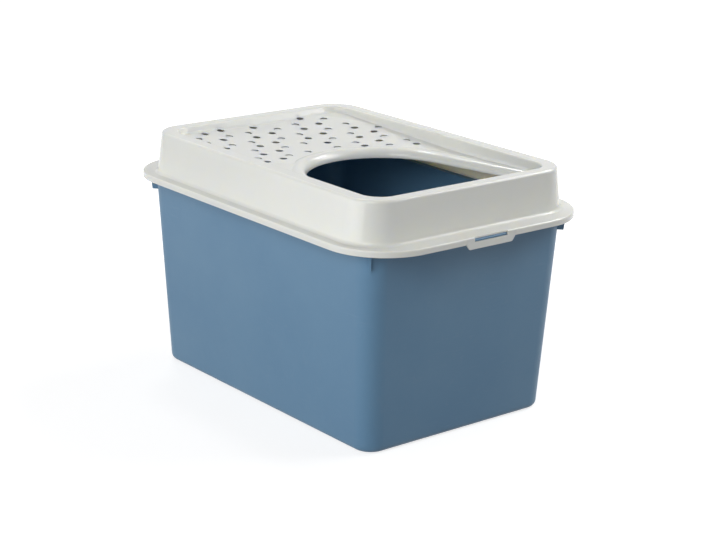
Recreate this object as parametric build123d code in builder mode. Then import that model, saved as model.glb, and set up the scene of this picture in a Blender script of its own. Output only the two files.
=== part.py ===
from build123d import *
import math
import os

# Top entry litter box: an open tub, a raised lid with a perforated tray and an entry hole,
# and a snap tab at each end. Millimetres. X runs along the box, with the entry hole at +X,
# Z is up, and the origin is in the middle of the flat base.

os.makedirs("parts", exist_ok=True)

# ---- overall outline: the lid's lip ----
lip_length = 572.0
lip_width = 393.0
lip_corner_radius = 84.0

# ---- tub ----
tub_height = 282.4  # floor to the rim's top face, where the lid rests
rim_end_width = 31.1  # the rim's reach beyond the wall at the two ends
rim_side_width = 22.1
mouth_corner_radius = 29.0
wall_lean_end = 15.2  # how much further in the wall stands at the floor than under the rim
wall_lean_side = 14.4
base_corner_radius = 27.0
tub_wall = 2.2
floor_thickness = 2.6
base_edge_radius = 9.0
rim_thickness = 2.2
rim_skirt_depth = 5.9  # the rim's turned-down edge, below its top face
gusset_thickness = 3.0
gusset_drop = 28.4  # from the rim's top face to the gusset's lower end
gusset_reach_top = 10.0  # from the wall's corner outwards
gusset_reach_bottom = 8.5

# ---- lid ----
lid_wall = 2.2
lip_height = 8.6
lip_top_radius = 2.0
lip_bottom_radius = 0.8
rim_clearance = 1.0  # tub rim to the inside of the lid's lip
flange_end_width = 30.8  # flat flange from the lip's outline to the raised collar
flange_side_width = 17.0
collar_foot_corner_radius = 53.5
collar_foot_fillet = 4.5
collar_lean_end = 5.5  # how much further in the collar stands at its top than at its foot
collar_lean_side = 8.6
collar_top_corner_radius = 44.5
collar_top_edge_radius = 4.0
collar_height = 57.4  # flange top to the lid's top band
collar_forward = 2.5  # the collar's middle lies this far in front of the lip's

# ---- sunken tray in the lid's top ----
band_front_width = 18.0  # flat top band
band_rear_width = 21.0
band_side_width = 21.4
band_inner_radius = 2.5
tray_corner_radius = 28.0
tray_foot_inset_rear = 13.0  # how far the tray's wall leans in over its depth
tray_foot_inset_side = 2.0
tray_foot_inset_front = 1.5
tray_foot_corner_radius = 23.0
tray_depth = 18.2  # top band to the lowest point of the dished deck
dish_radius = 1700.0
dish_set_back = 141.0  # from the entry hole's centre to the deck's lowest point
ledge_depth = 16.5  # top band to the flat ledges beside the entry hole
ledge_ramp = 0.033  # the slope at which the ledges run back into the dish
ledge_ramp_start = 45.0  # where that slope starts, behind the entry hole's centre
tray_foot_fillet = 4.0

# ---- entry hole ----
entry_radius = 110.0
entry_set_back = 157.0  # from the front of the tray to the centre of the hole's rear arc
entry_flare = 12.4  # degrees, each straight side against the X axis
entry_lip_radius = 12.0  # how the bead rolls down into the hole
entry_skirt_depth = 27.5  # top band to the lower edge of the rolled lip
bead_depth = 14.9  # top band to the crest of the bead round the hole
bead_radius = 18.0  # the bead's outer side
bead_crest_out = 14.0  # from the hole's edge to the crest

# ---- litter holes in the deck ----
hole_diameter = 10.8
crescent_width = 5.6
crescent_direction = 150.0  # degrees, the side of its hole that a crescent follows
turned_direction = 120.0
crescent_inner_radius = 6.6
hole_edge_thickness = 0.6
hole_relief_margin = 3.0  # round each hole, where the deck is thinned from below
pattern_angle = -30.0  # degrees, the direction in which the rows run
pattern_start_in = 1.3  # first row, from the tray's rear foot
pattern_start_y = -16.0
hole_step = 49.0  # along a row, from one hole to the next but one
row_pitch = 74.3
row_drift = 1.5  # each row starts a little further along
stagger_along = 25.0
stagger_across = 24.8
crescent_along = 3.2  # from a hole to its crescent
crescent_across = 35.0
pattern_rear_margin = 8.0  # hole centres keep this far inside the top band's inner edge
pattern_side_margin = 7.5
pattern_corner_radius = 70.0  # and the deck's rear corners stay bare
pattern_set_back = 82.0  # hole centres keep this far behind the entry hole's centre
entry_margin = 28.0  # and this far outside the entry hole
bare_length = 70.0  # behind the entry hole, a strip with no holes
bare_width = 20.0

# ---- snap tabs ----
tab_root_width = 83.4
tab_tip_width = 73.0
tab_reach = 7.2  # below the lip
tab_tip_radius = 3.0
tab_edge_radius = 0.6
tab_side_gap = 0.3
window_width = 57.0
window_sill = 6.3  # flange top to the lower edge of the window
catch_side_gap = 1.0
catch_sill_gap = 0.6
catch_reach = 0.8  # past the inside of the lip
catch_flat = 1.5
catch_root = 1.0

# ---- derived ----
overshoot = 1.0  # how far a cutting solid runs past the face that it cuts
tolerance = 0.01
tray_foot_slack = 0.6  # how near the tray wall an edge of its foot runs
rim_length = lip_length - 2 * (lid_wall + rim_clearance)
rim_width = lip_width - 2 * (lid_wall + rim_clearance)
rim_corner_radius = lip_corner_radius - lid_wall - rim_clearance
mouth_length = rim_length - 2 * rim_end_width
mouth_width = rim_width - 2 * rim_side_width
base_length = mouth_length - 2 * wall_lean_end
base_width = mouth_width - 2 * wall_lean_side
collar_foot_length = lip_length - 2 * flange_end_width
collar_foot_width = lip_width - 2 * flange_side_width
collar_top_length = collar_foot_length - 2 * collar_lean_end
collar_top_width = collar_foot_width - 2 * collar_lean_side
flange_top = tub_height + lid_wall
lid_top = flange_top + collar_height
lip_bottom = flange_top - lip_height
lip_inner_x = lip_length / 2 - lid_wall
deck_bottom = lid_top - tray_depth
ledge_z = lid_top - ledge_depth
skirt_bottom = lid_top - entry_skirt_depth
bead_crest_z = lid_top - bead_depth
band_front_x = collar_forward + collar_top_length / 2 - band_front_width
band_rear_x = collar_forward - collar_top_length / 2 + band_rear_width
band_inner_y = collar_top_width / 2 - band_side_width
tray_foot_rear = band_rear_x + tray_foot_inset_rear
tray_foot_front = band_front_x - tray_foot_inset_front
tray_foot_y = band_inner_y - tray_foot_inset_side
entry_centre_x = band_front_x - entry_set_back
dish_centre_x = entry_centre_x - dish_set_back
pattern_start_x = tray_foot_rear + pattern_start_in
window_bottom = flange_top - window_sill
tab_bottom = lip_bottom - tab_reach


def between(low, high, z, z_low, z_high):
    # the size at height z of a wall that leans straight from low at z_low to high at z_high
    return low + (high - low) * (z - z_low) / (z_high - z_low)


def edges_within(piece, z, half_length, half_width):
    # the piece's level edges at height z that lie inside, or on, a rectangle about the origin
    found = []
    for edge in piece.edges().filter_by_position(Axis.Z, z - tolerance, z + tolerance):
        middle = edge @ 0.5
        if abs(middle.X) < half_length + tolerance and abs(middle.Y) < half_width + tolerance:
            found.append(edge)
    return found


def tub_outline(z, inset):
    # the tub wall's rounded rectangle at height z, drawn in by inset
    RectangleRounded(
        between(base_length, mouth_length, z, 0, tub_height) - 2 * inset,
        between(base_width, mouth_width, z, 0, tub_height) - 2 * inset,
        between(base_corner_radius, mouth_corner_radius, z, 0, tub_height) - inset,
    )


def collar_outline(z, inset):
    # the lid collar's rounded rectangle at height z, drawn in by inset
    radius = between(collar_foot_corner_radius, collar_top_corner_radius, z, flange_top, lid_top)
    with Locations((collar_forward, 0)):
        RectangleRounded(
            between(collar_foot_length, collar_top_length, z, flange_top, lid_top) - 2 * inset,
            between(collar_foot_width, collar_top_width, z, flange_top, lid_top) - 2 * inset,
            radius - inset,
        )


def tray_outline(z, growth):
    # the tray wall's rounded rectangle at height z, pushed out by growth
    rear = between(tray_foot_rear, band_rear_x, z, skirt_bottom, lid_top) - growth
    front = between(tray_foot_front, band_front_x, z, skirt_bottom, lid_top) + growth
    half_width = between(tray_foot_y, band_inner_y, z, skirt_bottom, lid_top) + growth
    radius = between(tray_foot_corner_radius, tray_corner_radius, z, skirt_bottom, lid_top) + growth
    with Locations(((rear + front) / 2, 0)):
        RectangleRounded(front - rear, 2 * half_width, radius)


def entry_tangent(growth):
    # where the entry hole's rear arc, pushed out by growth, meets its straight side
    flare = math.radians(entry_flare)
    radius = entry_radius + growth
    return entry_centre_x - radius * math.sin(flare), radius * math.cos(flare)


def entry_half_width(x, growth):
    # half the width between the hole's straight sides at x
    tangent_x, tangent_y = entry_tangent(growth)
    return tangent_y + (x - tangent_x) * math.tan(math.radians(entry_flare))


def entry_distance(x, y, growth=0.0):
    # how far a point lies outside the hole's arc, or outside its straight sides
    if x < entry_tangent(growth)[0]:
        return math.hypot(x - entry_centre_x, y) - entry_radius - growth
    return (abs(y) - entry_half_width(x, growth)) * math.cos(math.radians(entry_flare))


def on_entry_rim(edge, growth, bottom):
    # whether an edge runs round the top of the entry hole
    middle = edge @ 0.5
    level = abs((edge @ 0).Z - (edge @ 1).Z) < tolerance
    on_outline = abs(entry_distance(middle.X, middle.Y, growth)) < tolerance
    return level and on_outline and bottom + overshoot < middle.Z < lid_top


def tray_wall_distance(point, growth):
    # how far a point lies outside the tray wall's rounded rectangle, pushed out by growth
    rear = between(tray_foot_rear, band_rear_x, point.Z, skirt_bottom, lid_top) - growth
    front = between(tray_foot_front, band_front_x, point.Z, skirt_bottom, lid_top) + growth
    half_width = between(tray_foot_y, band_inner_y, point.Z, skirt_bottom, lid_top) + growth
    radius = growth + between(
        tray_foot_corner_radius, tray_corner_radius, point.Z, skirt_bottom, lid_top
    )
    past_x = abs(point.X - (rear + front) / 2) - (front - rear) / 2 + radius
    past_y = abs(point.Y) - half_width + radius
    return math.hypot(max(past_x, 0), max(past_y, 0)) + min(max(past_x, past_y), 0) - radius


def at_tray_foot(edge, growth):
    # whether an edge runs along the foot of the tray's wall, where it meets the deck
    samples = [edge @ share for share in (0.2, 0.5, 0.8)]
    on_wall = all(abs(tray_wall_distance(point, growth)) < tray_foot_slack for point in samples)
    rise = abs((edge @ 0).Z - (edge @ 1).Z)
    above_ledge = min((edge @ 0).Z, (edge @ 1).Z) > ledge_z - growth - tolerance
    return on_wall and above_ledge and rise < edge.length / 2 and samples[1].Z < lid_top


def entry_bead(growth, reach):
    # the bead's body: level from inside the hole to the crest, then rounded off towards the deck
    flare = math.radians(entry_flare)
    crest_x, crest_y = entry_tangent(bead_crest_out)
    rear_x = entry_centre_x - entry_radius - bead_crest_out
    front_y = entry_half_width(reach, bead_crest_out)
    section = Plane(
        origin=(reach, front_y, bead_crest_z),
        x_dir=(-math.sin(flare), math.cos(flare), 0),
        z_dir=(-math.cos(flare), -math.sin(flare), 0),
    )
    with BuildPart() as bead:
        with BuildLine(Plane.XY.offset(bead_crest_z)) as crest:
            Line((reach, front_y), (crest_x, crest_y))
            ThreePointArc((crest_x, crest_y), (rear_x, 0), (crest_x, -crest_y))
            Line((crest_x, -crest_y), (reach, -front_y))
        with BuildSketch(section):
            with BuildLine():
                Polyline(
                    (0, growth),
                    (-2 * bead_crest_out, growth),
                    (-2 * bead_crest_out, bead_radius),
                    (bead_radius - growth, bead_radius),
                )
                RadiusArc((bead_radius - growth, bead_radius), (0, growth), bead_radius - growth)
            make_face()
        sweep(path=crest.line)
    return bead.part


def tray_air(growth, bottom):
    # the open space over the deck and through the entry hole, pushed out by growth
    top = lid_top + overshoot
    reach = band_front_x + lid_wall + overshoot
    tangent_x, tangent_y = entry_tangent(growth)
    rear_x = entry_centre_x - entry_radius - growth
    front_y = entry_half_width(reach, growth)
    ramp_x = entry_centre_x - ledge_ramp_start
    ramp_z = ledge_z + ledge_ramp * (ramp_x - band_rear_x)
    with BuildPart() as above_deck:
        with Locations((dish_centre_x, 0, deck_bottom + dish_radius)):
            Sphere(dish_radius + growth, rotation=(90, 0, 0))
        with BuildSketch(Plane.XZ):
            with BuildLine():
                Polyline(
                    (reach, ledge_z - growth),
                    (ramp_x, ledge_z - growth),
                    (band_rear_x, ramp_z - growth),
                    (band_rear_x, top),
                    (reach, top),
                    close=True,
                )
            make_face()
        extrude(amount=collar_top_width / 2, both=True)
        add(entry_bead(growth, reach), mode=Mode.SUBTRACT)
        with BuildSketch(Plane.XY.offset(bottom)):
            with BuildLine():
                ThreePointArc((tangent_x, tangent_y), (rear_x, 0), (tangent_x, -tangent_y))
                Polyline(
                    (tangent_x, -tangent_y), (reach, -front_y), (reach, front_y), (tangent_x, tangent_y)
                )
            make_face()
        extrude(amount=top - bottom)
        rim_edges = [edge for edge in above_deck.edges() if on_entry_rim(edge, growth, bottom)]
        fillet(rim_edges, radius=entry_lip_radius - growth)
    with BuildPart() as air:
        with BuildSketch(Plane.XY.offset(bottom)):
            tray_outline(bottom, growth)
        with BuildSketch(Plane.XY.offset(top)):
            tray_outline(top, growth)
        loft(ruled=True)
        add(above_deck.part, mode=Mode.INTERSECT)
        foot_edges = [edge for edge in air.edges() if at_tray_foot(edge, growth)]
        fillet(foot_edges, radius=tray_foot_fillet + growth)
    return air.part


def in_pattern(x, y):
    # whether a litter hole has room: inside the deck's border and clear of the entry hole
    rear = band_rear_x + pattern_rear_margin
    side = band_inner_y - pattern_side_margin
    corner_x = max(0, rear + pattern_corner_radius - x)
    corner_y = max(0, abs(y) - side + pattern_corner_radius)
    in_strip = abs(y) < bare_width / 2 and entry_distance(x, y) < bare_length
    on_deck = x < entry_centre_x - pattern_set_back and math.hypot(corner_x, corner_y) < pattern_corner_radius
    return on_deck and not in_strip and entry_distance(x, y) > entry_margin


def pattern_points():
    # the places of the round holes, of the crescents beside them and of the turned crescents
    turn = math.radians(pattern_angle)
    span = math.ceil((lip_length + lip_width) / hole_step)
    round_points = []
    crescent_points = []
    turned_points = []
    for row in range(-span, span + 1):
        for column in range(-span, span + 1):
            for odd in (0, 1):
                along = column * hole_step + row * row_drift + odd * stagger_along
                across = row * row_pitch + odd * stagger_across
                side = -1 if odd else 1
                crescents = turned_points if odd else crescent_points
                for u, v, points in (
                    (along, across, round_points),
                    (along + crescent_along, across + side * crescent_across, crescents),
                ):
                    x = pattern_start_x + u * math.cos(turn) - v * math.sin(turn)
                    y = pattern_start_y + u * math.sin(turn) + v * math.cos(turn)
                    if in_pattern(x, y):
                        points.append((x, y))
    return round_points, crescent_points, turned_points


# ---- tub: an open moulding with a turned-down rim, corner gussets and a catch at each end ----
with BuildPart() as tub_hollow:
    with BuildSketch(Plane.XY.offset(floor_thickness)):
        tub_outline(floor_thickness, tub_wall)
    with BuildSketch(Plane.XY.offset(tub_height + overshoot)):
        tub_outline(tub_height + overshoot, tub_wall)
    loft(ruled=True)
    fillet(tub_hollow.faces().sort_by(Axis.Z)[0].edges(), radius=base_edge_radius - tub_wall)

with BuildPart() as tub:
    with BuildSketch(Plane.XY):
        tub_outline(0, 0)
    with BuildSketch(Plane.XY.offset(tub_height)):
        tub_outline(tub_height, 0)
    loft(ruled=True)
    fillet(tub.faces().sort_by(Axis.Z)[0].edges(), radius=base_edge_radius)

    # rim plate with its edge turned down
    with BuildSketch(Plane.XY.offset(tub_height - rim_thickness)):
        RectangleRounded(rim_length, rim_width, rim_corner_radius)
    extrude(amount=rim_thickness)
    with BuildSketch(Plane.XY.offset(tub_height - rim_skirt_depth)):
        RectangleRounded(rim_length, rim_width, rim_corner_radius)
        RectangleRounded(
            rim_length - 2 * rim_thickness,
            rim_width - 2 * rim_thickness,
            rim_corner_radius - rim_thickness,
            mode=Mode.SUBTRACT,
        )
    extrude(amount=rim_skirt_depth - rim_thickness)

    # a gusset under the rim at each corner
    corner_shift = (1 - math.sqrt(0.5)) * mouth_corner_radius
    corner_lean = (wall_lean_end + wall_lean_side) * math.sqrt(0.5) * gusset_drop / tub_height
    for side_x, side_y in ((1, 1), (1, -1), (-1, 1), (-1, -1)):
        corner = (side_x * (mouth_length / 2 - corner_shift), side_y * (mouth_width / 2 - corner_shift), 0)
        gusset_plane = Plane(origin=corner, x_dir=(side_x, side_y, 0), z_dir=(side_y, -side_x, 0))
        with BuildSketch(gusset_plane):
            with BuildLine():
                Polyline(
                    (-tub_wall / 2, tub_height - rim_thickness / 2),
                    (gusset_reach_top, tub_height - rim_thickness / 2),
                    (gusset_reach_bottom - corner_lean, tub_height - gusset_drop),
                    (-tub_wall / 2 - corner_lean, tub_height - gusset_drop),
                    close=True,
                )
            make_face()
        extrude(amount=gusset_thickness / 2, both=True)

    # a ramped catch at each end, which stands in the tab's window
    catch_x = lip_inner_x + catch_reach
    catch_z = window_bottom + catch_sill_gap
    catch_half_width = window_width / 2 - catch_side_gap
    ramp_x = catch_x - (tub_height - catch_z - catch_flat)
    for end in (1, -1):
        with BuildSketch(Plane.XZ.offset(-catch_half_width)):
            with BuildLine():
                Polyline(
                    (end * (rim_length / 2 - catch_root), catch_z),
                    (end * catch_x, catch_z),
                    (end * catch_x, catch_z + catch_flat),
                    (end * ramp_x, tub_height),
                    (end * (rim_length / 2 - catch_root), tub_height),
                    close=True,
                )
            make_face()
        extrude(amount=2 * catch_half_width)
    add(tub_hollow.part, mode=Mode.SUBTRACT)

# ---- lid: lip, flange, raised collar and sunken tray in one moulding ----
with BuildPart() as lid_hollow:
    with BuildSketch(Plane.XY.offset(lip_bottom)):
        collar_outline(lip_bottom, lid_wall)
    with BuildSketch(Plane.XY.offset(lid_top - lid_wall)):
        collar_outline(lid_top - lid_wall, lid_wall)
    loft(ruled=True)
    top_edges = lid_hollow.faces().sort_by(Axis.Z)[-1].edges()
    fillet(top_edges, radius=collar_top_edge_radius - lid_wall)
    with BuildSketch(Plane.XY.offset(lip_bottom - overshoot)):
        RectangleRounded(
            lip_length - 2 * lid_wall, lip_width - 2 * lid_wall, lip_corner_radius - lid_wall
        )
    extrude(amount=lip_height - lid_wall + overshoot)
    add(tray_air(lid_wall, skirt_bottom), mode=Mode.SUBTRACT)

round_points, crescent_points, turned_points = pattern_points()
print("litter holes", len(round_points), "crescents", len(crescent_points) + len(turned_points))
hole_radius = hole_diameter / 2
crescent_shift = crescent_width + crescent_inner_radius - hole_radius

with BuildPart() as litter_holes:
    with BuildSketch(Plane.XY.offset(deck_bottom - lid_wall - overshoot)):
        with Locations(crescent_points + turned_points):
            Circle(hole_radius)
        for points, direction in (
            (crescent_points, math.radians(crescent_direction)),
            (turned_points, math.radians(turned_direction)),
        ):
            shift_x = crescent_shift * math.cos(direction)
            shift_y = crescent_shift * math.sin(direction)
            with Locations([(x - shift_x, y - shift_y) for x, y in points]):
                Circle(crescent_inner_radius, mode=Mode.SUBTRACT)
        with Locations(round_points):
            Circle(hole_radius)
    extrude(amount=tray_depth)

with BuildPart() as hole_reliefs:
    with BuildSketch(Plane.XY.offset(deck_bottom - lid_wall - overshoot)):
        with Locations(round_points + crescent_points + turned_points):
            Circle(hole_radius + hole_relief_margin)
    extrude(amount=tray_depth)
    add(tray_air(hole_edge_thickness, skirt_bottom), mode=Mode.SUBTRACT)

with BuildPart() as lid:
    with BuildSketch(Plane.XY.offset(lip_bottom)):
        RectangleRounded(lip_length, lip_width, lip_corner_radius)
    extrude(amount=lip_height)
    fillet(lid.faces().sort_by(Axis.Z)[-1].edges(), radius=lip_top_radius)
    fillet(lid.faces().sort_by(Axis.Z)[0].edges(), radius=lip_bottom_radius)
    with BuildSketch(Plane.XY.offset(flange_top)):
        collar_outline(flange_top, 0)
    with BuildSketch(Plane.XY.offset(lid_top)):
        collar_outline(lid_top, 0)
    loft(ruled=True)
    fillet(lid.faces().sort_by(Axis.Z)[-1].edges(), radius=collar_top_edge_radius)
    collar_foot_reach = collar_foot_length / 2 + collar_forward
    collar_foot = edges_within(lid, flange_top, collar_foot_reach, collar_foot_width / 2)
    fillet(collar_foot, radius=collar_foot_fillet)
    add(lid_hollow.part, mode=Mode.SUBTRACT)
    add(tray_air(0.0, skirt_bottom - overshoot), mode=Mode.SUBTRACT)
    fillet(edges_within(lid, lid_top, -band_rear_x + band_front_x, band_inner_y), radius=band_inner_radius)
    add(litter_holes.part, mode=Mode.SUBTRACT)
    add(hole_reliefs.part, mode=Mode.SUBTRACT)

    # at each end the lip gives way to the tab, and the window is open up to the flange's top
    slot_x = lip_inner_x + (lid_wall + overshoot) / 2
    for end in (1, -1):
        with BuildSketch(Plane.XY.offset(lip_bottom - overshoot)):
            with Locations((end * slot_x, 0)):
                Rectangle(lid_wall + overshoot, tab_root_width + 2 * tab_side_gap)
        extrude(amount=tub_height - lip_bottom + overshoot, mode=Mode.SUBTRACT)
        with BuildSketch(Plane.XY.offset(window_bottom)):
            with Locations((end * slot_x, 0)):
                Rectangle(lid_wall + overshoot, window_width)
        extrude(amount=window_sill + overshoot, mode=Mode.SUBTRACT)

# ---- snap tabs: plates in line with the lip, which flex outwards about its upper edge ----
with BuildPart() as front_snap_tab:
    with BuildSketch(Plane.YZ.offset(lip_inner_x)) as tab_face:
        with BuildLine():
            Polyline(
                (-tab_root_width / 2, tub_height),
                (-tab_root_width / 2, lip_bottom),
                (-tab_tip_width / 2, tab_bottom),
                (tab_tip_width / 2, tab_bottom),
                (tab_root_width / 2, lip_bottom),
                (tab_root_width / 2, tub_height),
                close=True,
            )
        make_face()
        fillet(tab_face.vertices().group_by(Axis.Y)[0], radius=tab_tip_radius)
        with Locations((0, (window_bottom + tub_height + overshoot) / 2)):
            Rectangle(window_width, tub_height + overshoot - window_bottom, mode=Mode.SUBTRACT)
    extrude(amount=lid_wall)
    outer_face = front_snap_tab.faces().sort_by(Axis.X)[-1]
    lower_edges = [edge for edge in outer_face.edges() if (edge @ 0.5).Z < lip_bottom]
    fillet(lower_edges, radius=tab_edge_radius)

with BuildPart() as rear_snap_tab:
    mirror(front_snap_tab.part, about=Plane.YZ)

for piece, name in (
    (tub, "tub"),
    (lid, "lid"),
    (front_snap_tab, "front_snap_tab"),
    (rear_snap_tab, "rear_snap_tab"),
):
    piece.part.label = name
    export_step(piece.part, "parts/" + name + ".step")
    print(name, piece.part.is_valid, len(piece.part.solids()), round(piece.part.volume))
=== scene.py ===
import math
import bpy
import bmesh
from mathutils import Matrix, Vector

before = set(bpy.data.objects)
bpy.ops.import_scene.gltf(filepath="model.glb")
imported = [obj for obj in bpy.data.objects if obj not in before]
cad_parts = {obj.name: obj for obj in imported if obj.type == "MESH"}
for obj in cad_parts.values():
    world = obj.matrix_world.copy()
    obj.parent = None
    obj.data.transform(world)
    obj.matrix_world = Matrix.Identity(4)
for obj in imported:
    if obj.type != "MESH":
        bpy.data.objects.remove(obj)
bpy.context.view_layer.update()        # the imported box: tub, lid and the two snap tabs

scene = bpy.context.scene
scene.view_settings.view_transform = "Standard"

cameraView = {
    "place": (1.9426, -1.5559, 0.9329),  # metres
    "azimuth": 51.06,  # degrees round Z, 0 looks along +Y
    "elevation": 17.16,
    "roll": 1.12,
    "lens": 93.33,  # millimetres
    "sensorWidth": 36.0,
    "farClip": 50.0,
}


def setCamera():
    data = bpy.data.cameras.new("photoCamera")
    data.lens = cameraView["lens"]
    data.sensor_width = cameraView["sensorWidth"]
    data.clip_end = cameraView["farClip"]
    camera = bpy.data.objects.new("photoCamera", data)
    scene.collection.objects.link(camera)
    turn = (
        Matrix.Rotation(math.radians(cameraView["azimuth"]), 4, "Z")
        @ Matrix.Rotation(math.radians(90 - cameraView["elevation"]), 4, "X")
        @ Matrix.Rotation(math.radians(cameraView["roll"]), 4, "Z")
    )
    camera.matrix_world = Matrix.Translation(cameraView["place"]) @ turn
    scene.camera = camera
    print("camera set")


def feed(tree, socket, value):
    # link one socket to another, or give it a plain number or colour
    if isinstance(value, bpy.types.NodeSocket):
        tree.links.new(value, socket)
    else:
        socket.default_value = value


def addNode(tree, kind, **inputs):
    # a node with its inputs set by name
    node = tree.nodes.new("ShaderNode" + kind)
    for name, value in inputs.items():
        feed(tree, node.inputs[name], value)
    return node


def combine(tree, operation, first, second):
    # a Math node on two sockets, or on a socket and a number
    node = addNode(tree, "Math")
    node.operation = operation
    feed(tree, node.inputs[0], first)
    feed(tree, node.inputs[1], second)
    return node.outputs[0]


def spread(tree, value, source, target=(0.0, 1.0)):
    # a value's range stretched to another range, and held inside it
    node = addNode(tree, "MapRange", Value=value)
    for name, number in zip(("From Min", "From Max", "To Min", "To Max"), source + target):
        node.inputs[name].default_value = number
    return node.outputs["Result"]


def mixColour(tree, factor, first, second):
    # a colour between two, where each is a socket or a plain colour
    node = addNode(tree, "Mix")
    node.data_type = "RGBA"
    factorInput, firstInput, secondInput = node.inputs[0], node.inputs[6], node.inputs[7]
    feed(tree, factorInput, factor)
    feed(tree, firstInput, first)
    feed(tree, secondInput, second)
    return node.outputs[2]


def noise(tree, place, scale, detail=2.0, roughness=0.5):
    pattern = addNode(tree, "TexNoise", Vector=place, Scale=scale, Detail=detail, Roughness=roughness)
    return pattern.outputs["Fac"]


def seenDirectly(tree):
    # 1 for rays that come from the camera, or by reflection or glass
    path = addNode(tree, "LightPath").outputs
    seen = combine(tree, "ADD", path["Is Camera Ray"], path["Is Glossy Ray"])
    seen = combine(tree, "ADD", seen, path["Is Transmission Ray"])
    return combine(tree, "MINIMUM", seen, 1.0)


studio = {
    "worldLevel": 0.03,  # soft light from all round
    "white": (1.0, 1.0, 1.0, 1.0),
    "floorColour": (0.38, 0.38, 0.38, 1.0),
    "floorRoughness": 0.9,
    "floorSize": 12.0,  # metres
    "floorDrop": 0.0004,  # the floor lies this far under the tub
    "floorLift": (0.74, 1.0),  # white added to the floor, beside the box and further off
    "liftReach": (0.45, 1.1),  # metres from the box's middle, where the lift starts and ends its rise
    "lampTarget": (0.0, 0.0, 0.25),
}

# each lamp: degrees from +X seen from above, degrees up, distance, width, height, power
lamps = {
    "frontSoftbox": (-55, 29, 2.8, 1.3, 1.3, 29.0),
    "sideSoftbox": (-90, 18, 2.8, 1.6, 1.6, 10.0),
    "sideStrip": (-90, 5, 2.8, 1.8, 0.9, 14.5),
    "rearStrip": (-120, 5, 2.8, 1.8, 0.9, 11.5),
    "farSoftbox": (62, 36, 2.6, 1.4, 1.4, 34.0),
    "endSoftbox": (180, 45, 2.6, 1.4, 1.4, 7.5),
    "farStreak": (98, 40, 2.6, 0.65, 0.16, 16.0),  # small, for a bright line on the hole's bead
    "endStreak": (165, 60, 2.6, 0.4, 0.2, 9.0),
}


def setWorld():
    world = bpy.data.worlds.new("studioWorld")
    world.use_nodes = True
    scene.world = world
    tree = world.node_tree
    tree.nodes.clear()
    soft = addNode(tree, "Background", Strength=studio["worldLevel"], Color=studio["white"])
    white = addNode(tree, "Background", Strength=1.0, Color=studio["white"])
    mix = addNode(tree, "MixShader", Fac=seenDirectly(tree))
    feed(tree, mix.inputs[1], soft.outputs[0])
    feed(tree, mix.inputs[2], white.outputs[0])
    addNode(tree, "OutputWorld", Surface=mix.outputs[0])


def addFloor():
    mesh = bpy.data.meshes.new("floor")
    shape = bmesh.new()
    bmesh.ops.create_grid(shape, x_segments=1, y_segments=1, size=studio["floorSize"])
    bmesh.ops.translate(shape, verts=shape.verts, vec=(0, 0, -studio["floorDrop"]))
    shape.to_mesh(mesh)
    shape.free()
    floor = bpy.data.objects.new("floor", mesh)
    scene.collection.objects.link(floor)
    material = bpy.data.materials.new("paleFloor")
    material.use_nodes = True
    tree = material.node_tree
    shader = tree.nodes["Principled BSDF"]
    shader.inputs["Base Color"].default_value = studio["floorColour"]
    shader.inputs["Roughness"].default_value = studio["floorRoughness"]
    shader.inputs["Emission Color"].default_value = studio["white"]
    away = addNode(tree, "VectorMath")
    away.operation = "LENGTH"
    feed(tree, away.inputs[0], addNode(tree, "TexCoord").outputs["Object"])
    lift = spread(tree, away.outputs["Value"], studio["liftReach"], studio["floorLift"])
    feed(tree, shader.inputs["Emission Strength"], combine(tree, "MULTIPLY", seenDirectly(tree), lift))
    mesh.materials.append(material)


def addLamps():
    target = Vector(studio["lampTarget"])
    for name, (turn, rise, distance, width, height, power) in lamps.items():
        data = bpy.data.lights.new(name, "AREA")
        data.energy = power
        data.shape = "RECTANGLE"
        data.size = width
        data.size_y = height
        lamp = bpy.data.objects.new(name, data)
        scene.collection.objects.link(lamp)
        level = math.cos(math.radians(rise))
        towards = Vector((
            level * math.cos(math.radians(turn)),
            level * math.sin(math.radians(turn)),
            math.sin(math.radians(rise)),
        ))
        lamp.location = target + distance * towards
        lamp.rotation_euler = towards.to_track_quat("Z", "Y").to_euler()


setCamera()
setWorld()
addFloor()
addLamps()
print("studio set")

# patterns that both plastics share; ranges say which part of a noise is stretched to 0..1
grain = {
    "sparkScale": 1500.0,  # the mould's fine spark-eroded grain
    "peelScale": 260.0,  # soft orange peel
    "waveScale": 16.0,  # slow sink and flow of the moulding
    "mottleScale": 7.0,
    "mottleRange": (0.3, 0.7),
    "scratchScale": 34.0,
    "scratchStretch": (1.0, 1.0, 9.0),  # thin across Z
    "scratchRange": (0.62, 0.74),
    "patchScale": 14.0,  # scratches keep to these patches
    "patchRange": (0.45, 0.7),
    "dustScale": 90.0,
    "dustRange": (0.55, 0.8),
}


def addGroup(name, inputs, outputs):
    # an empty node group with its sockets; inputs are name: default, outputs are names
    group = bpy.data.node_groups.new(name, "ShaderNodeTree")
    for socketName, default in inputs.items():
        socket = group.interface.new_socket(socketName, in_out="INPUT", socket_type="NodeSocketFloat")
        socket.default_value = default
    for socketName in outputs:
        group.interface.new_socket(socketName, in_out="OUTPUT", socket_type="NodeSocketFloat")
    return group, group.nodes.new("NodeGroupInput"), group.nodes.new("NodeGroupOutput")


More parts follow.
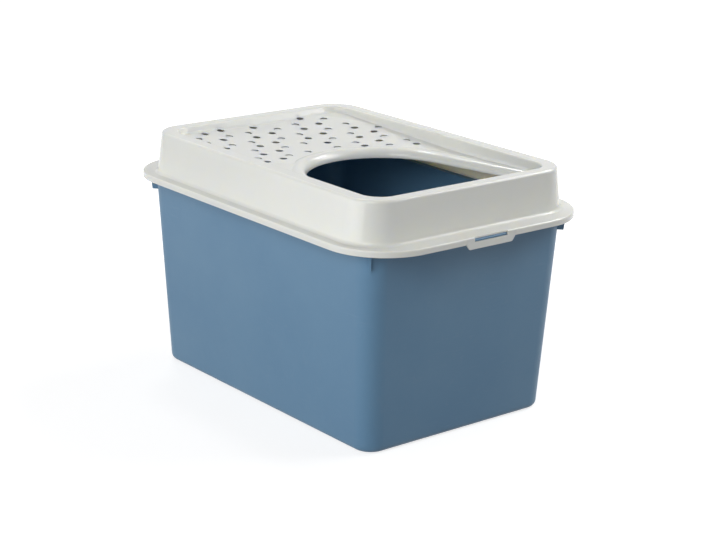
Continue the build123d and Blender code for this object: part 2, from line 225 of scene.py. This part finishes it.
def buildGrainGroup():
    group, source, result = addGroup(
        "mouldedGrain",
        {"Spark": 1.0, "Peel": 1.0, "Wave": 1.0},
        ["Height", "Mottle", "Scuff", "Dust"],
    )
    place = addNode(group, "TexCoord").outputs["Object"]
    layers = (
        ("Spark", noise(group, place, grain["sparkScale"], detail=1.0)),
        ("Peel", noise(group, place, grain["peelScale"], detail=1.0)),
        ("Wave", noise(group, place, grain["waveScale"])),
    )
    height = 0.0
    for name, layer in layers:
        height = combine(group, "ADD", combine(group, "MULTIPLY", layer, source.outputs[name]), height)
    mottle = noise(group, place, grain["mottleScale"], detail=4.0, roughness=0.6)
    stretched = addNode(group, "Mapping", Vector=place, Scale=grain["scratchStretch"]).outputs[0]
    scratches = noise(group, stretched, grain["scratchScale"], detail=3.0)
    patches = noise(group, place, grain["patchScale"])
    dust = noise(group, place, grain["dustScale"], detail=5.0, roughness=0.7)
    scuff = combine(
        group,
        "MULTIPLY",
        spread(group, scratches, grain["scratchRange"]),
        spread(group, patches, grain["patchRange"]),
    )
    feed(group, result.inputs["Height"], height)
    feed(group, result.inputs["Mottle"], spread(group, mottle, grain["mottleRange"]))
    feed(group, result.inputs["Scuff"], scuff)
    feed(group, result.inputs["Dust"], spread(group, dust, grain["dustRange"]))
    return group


grainGroup = buildGrainGroup()


def startPlastic(name, finish):
    # a new material with the shared grain, set to this plastic's strengths
    material = bpy.data.materials.new(name)
    material.use_nodes = True
    tree = material.node_tree
    detail = tree.nodes.new("ShaderNodeGroup")
    detail.node_tree = grainGroup
    for layer, strength in finish["grain"].items():
        detail.inputs[layer].default_value = strength
    return material, tree, tree.nodes["Principled BSDF"], detail.outputs


def dressPlastic(tree, shader, detail, finish, wearAmount):
    # mottled colour and gloss, then scuffs, dust and the bump of the grain
    wear = combine(tree, "MULTIPLY", detail["Scuff"], wearAmount)
    dust = combine(tree, "MULTIPLY", detail["Dust"], finish["dust"])
    colour = mixColour(tree, detail["Mottle"], finish["colour"], finish["deepColour"])
    colour = mixColour(tree, wear, colour, finish["scuffColour"])
    colour = mixColour(tree, dust, colour, finish["dustColour"])
    gloss = spread(tree, detail["Mottle"], (0.0, 1.0), finish["roughness"])
    roughness = combine(tree, "ADD", gloss, combine(tree, "MULTIPLY", wear, finish["wearRoughness"]))
    bump = addNode(
        tree, "Bump", Strength=finish["bump"], Distance=finish["bumpDepth"], Height=detail["Height"]
    )
    feed(tree, shader.inputs["Base Color"], colour)
    feed(tree, shader.inputs["Roughness"], roughness)
    feed(tree, shader.inputs["Normal"], bump.outputs["Normal"])


tubFinish = {
    "colour": (0.103, 0.222, 0.349, 1.0),
    "deepColour": (0.096, 0.207, 0.332, 1.0),
    "scuffColour": (0.235, 0.335, 0.445, 1.0),
    "dustColour": (0.30, 0.33, 0.35, 1.0),
    "dust": 0.06,
    "roughness": (0.40, 0.52),
    "wear": 0.12,
    "wearRoughness": 0.2,
    "footWear": 0.8,  # more scuffs towards the floor
    "footHeight": 0.014,  # metres, where they start
    "grain": {"Spark": 1.0, "Peel": 0.8, "Wave": 3.0},
    "bump": 0.10,
    "bumpDepth": 0.0004,
}


def makeTubPlastic():
    # satin blue-grey polypropylene, a little scuffed round its foot
    material, tree, shader, detail = startPlastic("satinTubPlastic", tubFinish)
    place = addNode(tree, "SeparateXYZ", Vector=addNode(tree, "TexCoord").outputs["Object"])
    foot = spread(tree, place.outputs["Z"], (tubFinish["footHeight"], 0.0), (0.0, tubFinish["footWear"]))
    dressPlastic(tree, shader, detail, tubFinish, combine(tree, "ADD", foot, tubFinish["wear"]))
    return material


lidFinish = {
    "colour": (0.790, 0.785, 0.725, 1.0),
    "deepColour": (0.765, 0.765, 0.715, 1.0),
    "scuffColour": (0.70, 0.69, 0.64, 1.0),
    "dustColour": (0.60, 0.57, 0.50, 1.0),
    "dust": 0.02,
    "roughness": (0.15, 0.22),
    "wear": 0.03,
    "wearRoughness": 0.8,
    "glow": 0.6,  # how much light the thin white wall lets through
    "glowDepth": 0.006,  # metres
    "glowRadius": (1.0, 0.85, 0.55),  # red goes deepest
    "grain": {"Spark": 0.35, "Peel": 0.8, "Wave": 3.0},
    "bump": 0.05,
    "bumpDepth": 0.0004,
}


def makeLidPlastic():
    # warm off-white, semi-gloss, and thin enough to let a little light through
    material, tree, shader, detail = startPlastic("glossyLidPlastic", lidFinish)
    dressPlastic(tree, shader, detail, lidFinish, lidFinish["wear"])
    shader.inputs["Subsurface Weight"].default_value = lidFinish["glow"]
    shader.inputs["Subsurface Scale"].default_value = lidFinish["glowDepth"]
    shader.inputs["Subsurface Radius"].default_value = lidFinish["glowRadius"]
    return material


tubPlastic = makeTubPlastic()
lidPlastic = makeLidPlastic()
finishes = {
    "tub": tubPlastic,
    "lid": lidPlastic,
    "front_snap_tab": lidPlastic,
    "rear_snap_tab": lidPlastic,
}
for name, material in finishes.items():
    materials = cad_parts[name].data.materials
    materials.clear()
    materials.append(material)
print("plastics set")
